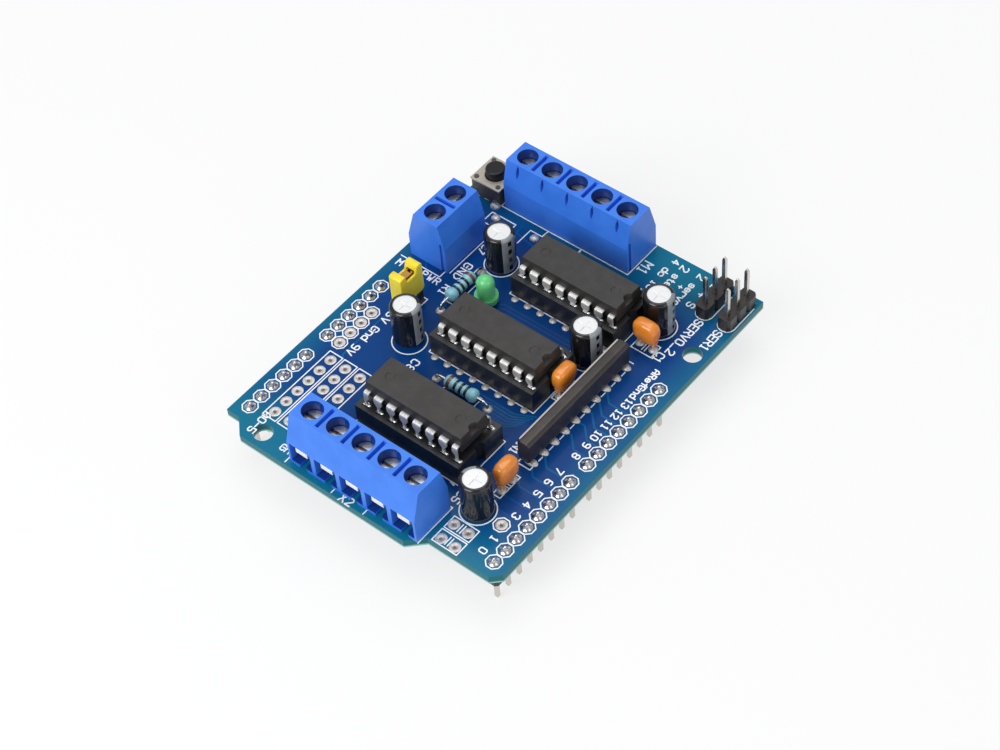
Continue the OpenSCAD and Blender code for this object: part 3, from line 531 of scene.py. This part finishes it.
# Resistor network, whose far side is broken at each lead
outlines += outline((8.7, 17.56), (8.7, 16.62), (18.71, 16.62), (18.71, 17.56), (18.45, 17.56))
for i in range(9):
    outlines += outline((9.52 + i, 17.56), (9.88 + i, 17.56))
# Servo headers: two straight sides with a round end
SERVO_X = (0.85, 2.85)
SERVO_HALF = 0.58
SERVO_RING_R = 1.47
for y in SERVO_ROWS:
    outlines += arc(SERVO_X[1], y, SERVO_RING_R, -90, 90, 14) + arc(SERVO_X[0], y, SERVO_RING_R, 140, 220, 6)
    for side_y in (y - SERVO_HALF, y + SERVO_HALF):
        outlines += outline((SERVO_X[0], side_y), (SERVO_X[1], side_y))
# Jumper and the two resistors
outlines += frame_line(12.1, 3.0, 14.2, 4.1)
outlines += frame_line(9.2, 4.95, 11.5, 5.79)
outlines += frame_line(16.24, 9.5, 17.08, 11.9)
# Terminal blocks
outlines += outline((0.1, 2.75), (3.12, 2.75), (3.12, 12.91), (0.1, 12.91))
outlines += outline((26.85, 5.56), (23.5, 5.56), (23.5, 15.68), (26.6, 15.68))
outlines += outline((5.66, 0.3), (5.66, 3.8), (9.57, 3.8))
outlines += outline((10.21, 0.3), (10.21, 3.49), (9.57, 3.49))
# Reset button and the boxes beside it
outlines += outline((3.25, 0.5), (3.25, 1.0)) + outline((3.2, 1.45), (3.2, 1.75))
outlines += outline((4.9, 2.62), (3.9, 2.62), (3.9, 4.56), (4.9, 4.56), (4.9, 2.62))
outlines += outline((5.07, 5.62), (3.72, 5.62), (3.72, 6.55), (3.14, 6.6))
# Marks at the edge beside the right motor terminal
outlines += outline((26.5, 9.28), (26.9, 9.28)) + outline((26.5, 11.8), (26.95, 11.8))
CHIP_HALF = (2.08, 4.08)
for x, y in CHIP_PLACES:
    outlines += frame_line(x - CHIP_HALF[0], y - CHIP_HALF[1], x + CHIP_HALF[0], y + CHIP_HALF[1])
heavy = outline((3.2, 9.26), (3.57, 9.28), (3.57, 11.2)) + outline((3.57, 11.55), (3.57, 13.47))
heavy += outline((22.12, 14.4), (22.2, 14.68))
# Labels: text, grid place of the first letter, height and pitch in millimetres, turn in degrees
words = [
    ("M1", 1.74, 13.42, 1.65, 1.44, 0), ("dc", 1.43, 14.62, 1.2, 1.07, 0),
    ("stepper", 1.51, 15.43, 1.15, 1.05, 0), ("+", 2.02, 16.17, 0.9, 1, 0),
    ("servo", 1.54, 16.74, 1.15, 1.09, 0), ("4", 0.51, 14.73, 1.2, 1, 0), ("2", 0.66, 15.5, 1.4, 1, 0),
    ("2", 0.62, 16.76, 1.3, 1, 0), ("-", 0.75, 17.64, 1.2, 1, 0), ("+", 1.81, 17.59, 1.2, 1, 0),
    ("S", 2.85, 17.56, 1.3, 1, 0), ("SERVO_2", 3.74, 18.8, 1.35, 1.23, 0),
    ("SER1", 3.76, 20.24, 1.35, 1.17, 0), ("C1", 7.22, 18.48, 1.3, 0.95, 0),
    ("ARef", 8.42, 19.1, 1.05, 1.02, 0), ("Gnd", 9.92, 19.1, 1.05, 1.02, 0),
    ("RN1", 17.39, 15.9, 1.2, 1.02, 0), ("C5", 22.49, 15.48, 1.3, 1.18, 0),
    ("X2", 26.76, 10.1, 1.35, 1.3, 90), ("A0-5", 24.9, 2.3, 1.25, 1.15, 0),
    ("Gnd", 26.1, 4.75, 1.1, 1.0, 90), ("9V", 17.69, 3.04, 1.3, 1.3, 0),
    ("Gnd", 15.9, 3.07, 1.25, 1.15, 0), ("5V", 14.46, 3.06, 1.3, 1.35, 0),
    ("C8", 16.46, 6.82, 1.35, 1.35, 0), ("PWR", 10.59, 2.56, 1.25, 1.31, 90),
    ("M", 10.73, 0.64, 1.25, 1, 90), ("R1", 10.65, 4.44, 1.25, 1.17, 0),
    ("GND", 8.45, 4.36, 1.4, 1.38, 0), ("C7", 6.58, 4.24, 1.25, 0.98, 0),
    ("IC1", 2.71, 14.68, 1.2, 1.15, 0)]
words += [(str(13 - i), 11.2 + i, 19.12, 1.1, 1.0, 0) for i in range(4)]
words += [(str(9 - i), 15.3 + i, 19.1, 1.15, 1.0, 0) for i in range(2)]
words += [(str(7 - i), 17.77 + i, 19.0, 1.2, 1.0, 0) for i in range(8) if i != 5]
letters = [line for word in words for line in lettering(*word)]
drawn = [strokes(outlines, LINE_W, TOP - SINK, INK_Z), strokes(heavy, HEAVY_W, TOP - SINK, INK_Z)]
piece("print_outlines", drawn, "root", ink)
piece("print_lettering", [strokes(letters, LETTER_W, TOP - SINK, INK_Z)], "root", ink)

# Pin headers
# Square brass wire, tinned, pressed into moulded strips of black nylon. Four rows plug into the board
# below, two take the servos' leads and one carries the power jumper.
body_of = {node: body for body, nodes in frame["record"]["behaviour"]["bodies"].items() for node in nodes}


def rounded(node, material, radius, least=30):
    """Stands a finished copy in for a CAD node: doubles merged, flat faces joined, and each edge sharper
    than least degrees rounded to the radius in millimetres."""
    shape = bmesh.new()
    shape.from_mesh(frame["nodes"][node].data)
    bmesh.ops.remove_doubles(shape, verts=shape.verts, dist=1e-6)
    bmesh.ops.dissolve_limit(shape, angle_limit=math.radians(1.5), verts=shape.verts, edges=shape.edges)
    least = math.radians(least)
    edges = [e for e in shape.edges if len(e.link_faces) == 2 and e.calc_face_angle(0) > least]
    bmesh.ops.bevel(shape, geom=edges, offset=radius * MM, segments=2, profile=0.5, affect="EDGES",
                    clamp_overlap=True)
    mesh = bpy.data.meshes.new(node + "_finished")
    shape.to_mesh(mesh)
    shape.free()
    mesh.materials.clear()
    mesh.materials.append(material)
    mesh.polygons.foreach_set("material_index", np.zeros(len(mesh.polygons), np.int32))
    thing = show(mesh, 40)
    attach(thing, body_of[node])
    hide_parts(node)
    even = thing.modifiers.new("even faces", "WEIGHTED_NORMAL")
    even.keep_sharp = True
    return thing


# Moulded nylon: nearly black, satin, fine grain
nylon = finish("moulded black nylon", "#1b1817", {"Roughness": 0.38, "IOR": 1.53}, (0.25, 0.004),
               ("#2a2422", 2.5, 0.45, 0.7))
# Tinned brass wire: warm silver with drawn sheen
wire = finish("tinned brass wire", "#cfccc4", {"Metallic": 1.0, "Roughness": 0.24}, (0.4, 0.004))
for strip in ("header_strips", "servo_headers", "jumper_header"):
    rounded(strip, nylon, 0.06)
for pins in ("header_pins", "servo_pins", "jumper_pins"):
    rounded(pins, wire, 0.05)

# Jumper cap
# A moulded cap of yellow polyester that pushes over the two pins, with a folded bronze spring inside it
# that joins them.

# Polyester: light goes a little way into it, so its shaded sides stay warm
yellow_depth = {"Subsurface Weight": 0.5, "Subsurface Radius": (1.0, 0.7, 0.1), "Subsurface Scale": 0.002}
cap_yellow = finish("moulded yellow polyester", "#ffe03a", {"Roughness": 0.36, **yellow_depth},
                    (0.3, 0.004), ("#fbc81e", 3.0, 0.45, 0.7))
rounded("jumper_cap", cap_yellow, 0.12)
# Spring bronze: golden, with the mill's fine haze
bronze = finish("folded spring bronze", "#c79b57", {"Metallic": 1.0, "Roughness": 0.3}, (0.4, 0.003))
dress("jumper_contact", bronze)

# Terminal blocks
# Each is one moulding of blue polyamide that stands on its contacts' legs. A slotted, zinc-plated clamp
# screw for each pole lifts a sheet-metal cage, which presses the wire against a tinned contact.
POLES = 12
SCREW_HOLE_R = 1.85
HOLE_RIM = 0.2
FLOW_SIZE = 3.57
SPARK_SIZE = 0.222
SPARK_HEIGHT = 0.005
# Polyamide: rich even blue with a soft gloss. Down the screw holes a dark navy is mixed in as painted shade
polyamide, tree, output = empty_material("moulded blue polyamide")
where = add(tree, "ShaderNodeTexCoord").outputs["Object"]
flow = add(tree, "ShaderNodeTexNoise", {"Scale": 1000 / FLOW_SIZE, "Detail": 3.0}, {"Vector": where})
flow = add(tree, "ShaderNodeMapRange", {1: 0.4, 2: 0.7}, {0: flow.outputs["Fac"]})
blue = add(tree, "ShaderNodeMix", {"data_type": "RGBA", 6: linear("#3c7ee8"), 7: linear("#3576e0")},
           {0: flow.outputs[0]})
# Painted shade: faces down the screw holes take the dark navy
deep = add(tree, "ShaderNodeAttribute", {"attribute_name": "painted_hole_shade"})
blue = add(tree, "ShaderNodeMix", {"data_type": "RGBA", 7: linear("#123a8c")},
           {0: deep.outputs["Fac"], 6: blue.outputs[2]})
grain = add(tree, "ShaderNodeTexNoise", {"Scale": 1000 / SPARK_SIZE, "Detail": 2.0}, {"Vector": where})
bump = add(tree, "ShaderNodeBump", {"Distance": SPARK_HEIGHT * MM, "Strength": 1.0},
           {"Height": grain.outputs["Fac"]})
shader = add(tree, "ShaderNodeBsdfPrincipled", {"Roughness": 0.38, "Specular IOR Level": 0.4},
             {"Base Color": blue.outputs[2], "Normal": bump.outputs["Normal"]})
tree.links.new(shader.outputs["BSDF"], output.inputs["Surface"])
screw_boxes = np.array([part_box(f"clamp_screw_{k}") for k in range(1, POLES + 1)])
screw_axes = screw_boxes.mean(axis=1)[:, :2]
for block in ("motor_terminal_left", "motor_terminal_right", "power_terminal"):
    mesh = rounded(block, polyamide, 0.1, 12).data
    middles = np.empty(len(mesh.polygons) * 3, np.float32)
    mesh.polygons.foreach_get("center", middles)
    middles = middles.reshape(-1, 3)
    # Faces inside a screw hole, below its rim, are marked for the painted shade
    gap = np.linalg.norm(middles[:, None, :2] - screw_axes[None], axis=2).min(axis=1)
    below_rim = middles[:, 2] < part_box(block)[1][2] - HOLE_RIM * MM
    mark = mesh.attributes.new("painted_hole_shade", "FLOAT", "FACE")
    mark.data.foreach_set("value", ((gap < SCREW_HOLE_R * MM) & below_rim).astype(np.float32))
# Zinc plating: bright, faintly mottled
zinc = finish("zinc-plated steel", "#c6c8ca", {"Metallic": 1.0, "Roughness": 0.33}, (0.3, 0.02),
              ("#a9abac", 0.6, 0.5, 0.7))
# Nickelled sheet: greyer, with rolling haze
sheet_metal = finish("nickel-plated sheet", "#b9babb", {"Metallic": 1.0, "Roughness": 0.36}, (0.5, 0.006))
for k in range(1, POLES + 1):
    rounded(f"clamp_screw_{k}", zinc, 0.1)
    dress(f"clamp_cage_{k}", sheet_metal)
# Thick matt tin: nearly white where it faces the light
matt_tin = finish("matt tin on the clamp contacts", "#f1f1ef", {"Metallic": 0.45, "Roughness": 0.45},
                  (0.5, 0.006))
dress("terminal_contacts", matt_tin)

# Chips and sockets
# Three bodies of black moulding compound on tinned lead frames, pushed into frames of black polyester
# whose pockets hold sprung contacts.

# Moulding compound: dark grey, matt where the mould was eroded
compound = finish("epoxy moulding compound", "#2b2826", {"Roughness": 0.5, "IOR": 1.55}, (0.16, 0.006),
                  ("#353230", 2.0, 0.4, 0.7))
for chip in ("driver_chip_left", "logic_chip", "driver_chip_right"):
    rounded(chip, compound, 0.09)
# Lead frame: pale tin with a satin face
lead_frame = finish("tinned lead frame", "#dcdbd8", {"Metallic": 0.55, "Roughness": 0.36}, (0.4, 0.01),
                    ("#c2c0bd", 0.7, 0.5, 0.7))
dress("chip_leads", lead_frame)
# Polyester: black with a low sheen
polyester = finish("moulded black polyester", "#1d1d1f", {"Roughness": 0.35, "IOR": 1.53}, (0.3, 0.004),
                   ("#28282a", 2.5, 0.45, 0.7))
rounded("chip_sockets", polyester, 0.08)
# Bright tin over strip or wire: clear reflections, softly broken
bright = finish("tinned contact metal", "#dadcdd", {"Metallic": 1.0, "Roughness": 0.25}, (0.5, 0.006))
dress("socket_contacts", bright)
# The rolled upper end of each contact shows beside the leg that it grips
lip = revolve([(0, -0.1), (0.3, -0.1), (0.29, 0.05), (0.2, 0.13), (0, 0.16)], 14)
lip_places = np.vstack([row(x, y + 0.22, 8, (0, 1)) for x, y in chip_columns])
lips = copies(lip, lip_places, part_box("chip_sockets")[1][2] / MM, (1.15, 1.5, 1.2))
piece("contact_lips", lips, "root", bright)

# Reset button
# A moulded base holds a snap dome and a plunger under a sheet-metal cover, which is held by four posts
# melted over at its corners.

# Nylon with mineral filler: brownish grey, nearly matt
filled_nylon = finish("moulded grey-brown nylon", "#4b4741", {"Roughness": 0.42, "IOR": 1.53}, (0.25, 0.004))
dress("reset_base", filled_nylon)
dress("reset_dome", sheet_metal)
dress("reset_legs", bright)
# Tin-plated sheet: warm pale grey that has dulled
cover_metal = finish("tin-plated cover sheet", "#c3bbad", {"Metallic": 0.5, "Roughness": 0.42},
                     (0.5, 0.005), ("#b3ab9e", 2.0, 0.4, 0.7))
rounded("reset_cover", cover_metal, 0.06)
# Acetal: black and slightly waxy
acetal = finish("moulded black acetal", "#121214", {"Roughness": 0.3, "IOR": 1.48}, (0.4, 0.004))
rounded("reset_plunger", acetal, 0.12)

# Electrolytic capacitors
# A drawn aluminium can in a shrunk film sleeve that curls over its shoulder. A pale stripe with minus
# signs marks the negative side.
CAN_R = 2.5
CAN_H = 7.2
CURL_R = 0.55
CAN_BASES = [0.3, 1.3, 0.3, 0.3, 0.3]
STRIPE_TURNS = [80, 100, 85, 100, 245]
STRIPE_HALF = 0.55
SIGN_HALF = 0.13
# Polyester film: tight, black and glossy. The stripe follows the sleeve's own angle and height.
film, tree, output = empty_material("shrunk polyester film")
own = add(tree, "ShaderNodeAttribute", {"attribute_name": "local"})
parts = add(tree, "ShaderNodeSeparateXYZ", {}, {0: own.outputs["Vector"]})
angle = add(tree, "ShaderNodeMath", {"operation": "ARCTAN2"}, {0: parts.outputs[1], 1: parts.outputs[0]})
angle = add(tree, "ShaderNodeMath", {"operation": "ABSOLUTE"}, {0: angle.outputs[0]})
stripe = add(tree, "ShaderNodeMath", {"operation": "LESS_THAN", 1: STRIPE_HALF}, {0: angle.outputs[0]})
mark_x = add(tree, "ShaderNodeMath", {"operation": "LESS_THAN", 1: SIGN_HALF}, {0: angle.outputs[0]})
mark_z = add(tree, "ShaderNodeMath", {"operation": "PINGPONG", 1: 0.9}, {0: parts.outputs[2]})
mark_z = add(tree, "ShaderNodeMath", {"operation": "GREATER_THAN", 1: 0.42}, {0: mark_z.outputs[0]})
mark = add(tree, "ShaderNodeMath", {"operation": "MULTIPLY"}, {0: mark_x.outputs[0], 1: mark_z.outputs[0]})
pale = add(tree, "ShaderNodeMath", {"operation": "SUBTRACT", "use_clamp": True},
           {0: stripe.outputs[0], 1: mark.outputs[0]})
colour = add(tree, "ShaderNodeMix", {"data_type": "RGBA", 6: linear("#141416"), 7: linear("#858a8e")},
             {0: pale.outputs[0]})
shader = add(tree, "ShaderNodeBsdfPrincipled", {"Roughness": 0.16, "IOR": 1.55},
             {"Base Color": colour.outputs[2]})
tree.links.new(shader.outputs["BSDF"], output.inputs["Surface"])
# The sleeve's section: up the outside, over the shoulder, and back down the can's wall
sleeve = [(CAN_R - 0.12, 0), (CAN_R, 0), (CAN_R, 0.9), (CAN_R - 0.05, 1.3), (CAN_R, 1.7)]
sleeve += [(CAN_R, z) for z in np.linspace(2, CAN_H - 0.5, 8)]
bend = np.radians(np.linspace(0, 95, 9))
sleeve += [(CAN_R - CURL_R + CURL_R * math.cos(a), CAN_H - 0.4 + CURL_R * math.sin(a)) for a in bend]
sleeve += [(CAN_R - 0.64, CAN_H + 0.12), (CAN_R - 0.64, CAN_H + 0.02), (CAN_R - 0.45, CAN_H + 0.02),
           (CAN_R - 0.12, CAN_H - 0.3)]
sleeves = [moved(revolve(sleeve, 48, True), (*hole(x, y), TOP + base), math.radians(turn))
           for (x, y), base, turn in zip(CAN_PLACES, CAN_BASES, STRIPE_TURNS)]
piece("printed_sleeves", sleeves, "root", film, ("capacitor_sleeves",), 50)
# Drawn aluminium: soft white metal with hardly any reflection
aluminium = finish("drawn aluminium", "#eceded", {"Metallic": 0.5, "Roughness": 0.5}, (0.5, 0.004))
rounded("capacitor_cans", aluminium, 0.05)
# Butyl rubber: dull black
rubber = finish("moulded butyl rubber", "#2b2624", {"Roughness": 0.7}, (0.3, 0.01))
dress("capacitor_bungs", rubber)
dress("capacitor_leads", bright)

# Ceramic capacitors
# Small ceramic plates dipped in orange epoxy resin, which runs down a little on each lead. They stand
# clear of the board on those leads.
DISC_W, DISC_H, DISC_T, DISC_Z = 4.5, 4.1, 2.5, 1.6
DISC_SQUARE = 0.62
DISC_TAPER = 0.12
# Dipped resin: wet-looking orange, gently uneven where it set
resin = finish("dipped orange epoxy", "#e58a2c",
               {"Roughness": 0.18, "IOR": 1.52, "Coat Weight": 0.5, "Coat Roughness": 0.05},
               (2.2, 0.06), ("#d97a1e", 2.5, 0.4, 0.7))


def pillow(width, depth, height, power, rows=24, columns=40):
    """A rounded cushion shape. With u from the lower to the upper pole and v round the middle, a point is
    (w c(u) c(v), d c(u) s(v), h s(u)) by half the sizes w, d and h, where c and s are the cosine and sine
    raised to a power, signs kept."""
    u = np.linspace(-np.pi / 2, np.pi / 2, rows)[1:-1, None]
    v = np.arange(columns)[None] * 2 * np.pi / columns
    c_u = np.abs(np.cos(u)) ** power
    s_u = np.sign(np.sin(u)) * np.abs(np.sin(u)) ** power
    c_v = np.sign(np.cos(v)) * np.abs(np.cos(v)) ** power
    s_v = np.sign(np.sin(v)) * np.abs(np.sin(v)) ** power
    grid = np.stack([width / 2 * c_u * c_v, depth / 2 * c_u * s_v, height / 2 * s_u + 0 * v], axis=2)
    points = np.vstack([grid.reshape(-1, 3), [0, 0, -height / 2], [0, 0, height / 2]])
    faces = ring_faces(rows - 2, columns)
    faces += pole_faces(0, columns, len(points) - 2, True)
    faces += pole_faces((rows - 3) * columns, columns, len(points) - 1, False)
    return points, faces


coated, faces = pillow(DISC_W, DISC_T, DISC_H, DISC_SQUARE)
coated[:, 0] *= 1 - DISC_TAPER * np.clip(-coated[:, 2] / DISC_H * 2, 0, 1)
run = revolve([(0, -0.7), (0.3, -0.7), (0.36, -0.4), (0.5, -0.1), (0.8, 0.3), (0.8, 0.6), (0, 0.6)], 16)
dips = []
for x, y, turn in DISC_PLACES:
    spin = math.radians(turn)
    dips.append(moved((coated, faces), (*hole(x, y), TOP + DISC_Z + DISC_H / 2), spin))
    across = GRID / 2 * np.array([math.cos(spin), math.sin(spin)])
    dips += copies(run, [hole(x, y) - across, hole(x, y) + across], TOP + DISC_Z)
piece("dipped_bodies", dips, "root", resin, ("ceramic_bodies",), 60)
dress("ceramic_leads", bright)

# Resistors
# Ceramic rods with end caps, coated in pale blue lacquer and banded in colour. The wires at both ends
# are bent down through the board.
ROD_R, ROD_L = 1.15, 6.3
NECK = 0.2
# Lacquer: pale blue under a clear gloss. The bands follow the rod's own length, as shares of it.
LACQUER = "#8fcbdc"
BANDS = ((0.13, "#6a4438"), (0.22, LACQUER), (0.33, "#1c1a1e"), (0.41, LACQUER), (0.5, "#20202a"),
         (0.58, LACQUER), (0.66, "#24323a"), (0.74, LACQUER))
lacquer, tree, output = empty_material("banded blue lacquer")
own = add(tree, "ShaderNodeAttribute", {"attribute_name": "local"})
parts = add(tree, "ShaderNodeSeparateXYZ", {}, {0: own.outputs["Vector"]})
along = add(tree, "ShaderNodeMath", {"operation": "DIVIDE", 1: ROD_L}, {0: parts.outputs[0]})
bands = add(tree, "ShaderNodeValToRGB", {}, {0: along.outputs[0]})
bands.color_ramp.interpolation = "CONSTANT"
for place, hue in BANDS:
    bands.color_ramp.elements.new(place).color = linear(hue)
for end in (0, -1):
    bands.color_ramp.elements[end].color = linear(LACQUER)
shader = add(tree, "ShaderNodeBsdfPrincipled",
             {"Roughness": 0.2, "IOR": 1.5, "Coat Weight": 0.4, "Coat Roughness": 0.06},
             {"Base Color": bands.outputs[0]})
tree.links.new(shader.outputs["BSDF"], output.inputs["Surface"])


def rod(profile, steps=32):
    """A profile of (x, r) turned about X: a point is (x, r cos a, r sin a)."""
    points, faces = revolve([(r, x) for x, r in profile], steps)
    return np.stack([points[:, 2], points[:, 0], points[:, 1]], axis=1), faces


# Radius along the rod: wider over the end caps by a smooth step, and rounded off at both ends
share = np.linspace(0, 1, 41)
from_middle = np.abs(share - 0.5) * ROD_L
over_cap = NECK * (0.5 + 0.5 * np.tanh((from_middle - 1.75) / 0.25))
round_end = np.sqrt(np.clip(1 - ((from_middle - (ROD_L / 2 - 0.75)) / 0.76).clip(0) ** 2, 0.03, 1))
radii = (ROD_R - NECK + over_cap) * round_end
banded = rod([(0, 0), *zip(ROD_L * share, radii), (ROD_L, 0)])
rods = []
for x, y, turn in ((8.34, 5.37, 0), (16.66, 8.7, 90)):
    spin = math.radians(turn)
    start = hole(x, y) + (2 * GRID - ROD_L / 2) * np.array([math.cos(spin), math.sin(spin)])
    rods.append(moved(banded, (*start, TOP + ROD_R + 0.15), spin))
piece("banded_bodies", rods, "root", lacquer, ("resistor_bodies",), 60)
dress("resistor_leads", bright)

# Resistor network
# A ceramic strip moulded into dark brown epoxy, glossy on its edges, with its ten leads in a row. It
# stands on them, a little above the board.

# Network epoxy: brown-black with a semi-gloss, wavy skin
dip = finish("dark network epoxy", "#2b2524", {"Roughness": 0.3, "IOR": 1.53}, (1.2, 0.02),
             ("#3a3230", 2.5, 0.4, 0.7))
rounded("resistor_network", dip, 0.22)
dress("network_leads", bright)
# Along the far upper edge a pale line is painted on: a painted highlight in place of the lamps' glint off the
# rounded edge
glint_paint = finish("painted edge highlight", "#b7afaa", {"Roughness": 0.45}, (0.3, 0.01))
strip_low, strip_high = [np.array(corner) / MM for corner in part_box("resistor_network")]
glint_y = strip_low[1] + 0.28
glint_line = [(strip_low[0] + 0.5, glint_y, strip_high[0] - 0.5, glint_y)]
glint_stroke = strokes(glint_line, 0.26, strip_high[2] - 0.2, strip_high[2] + 0.03)
# Painted highlight: a pale grey, matt stroke laid along that edge
piece("network_painted_highlight", [glint_stroke], "root", glint_paint)

# Lamp
# A green indicator in clear tinted epoxy, cast round its lead frame, with a dome over a low flange. It is
# soldered by its two leads.

# Cast epoxy: glassy green that glows a little within
green_depth = {"Subsurface Weight": 0.5, "Subsurface Radius": (0.4, 1.0, 0.5), "Subsurface Scale": 0.002}
tinted = finish("cast green epoxy", "#6fd68c", {"Roughness": 0.1, "Transmission Weight": 0.15, **green_depth},
                (1.5, 0.01), ("#7be097", 2.0, 0.4, 0.7))
dress("lamp_lens", tinted)
dress("lamp_leads", bright)
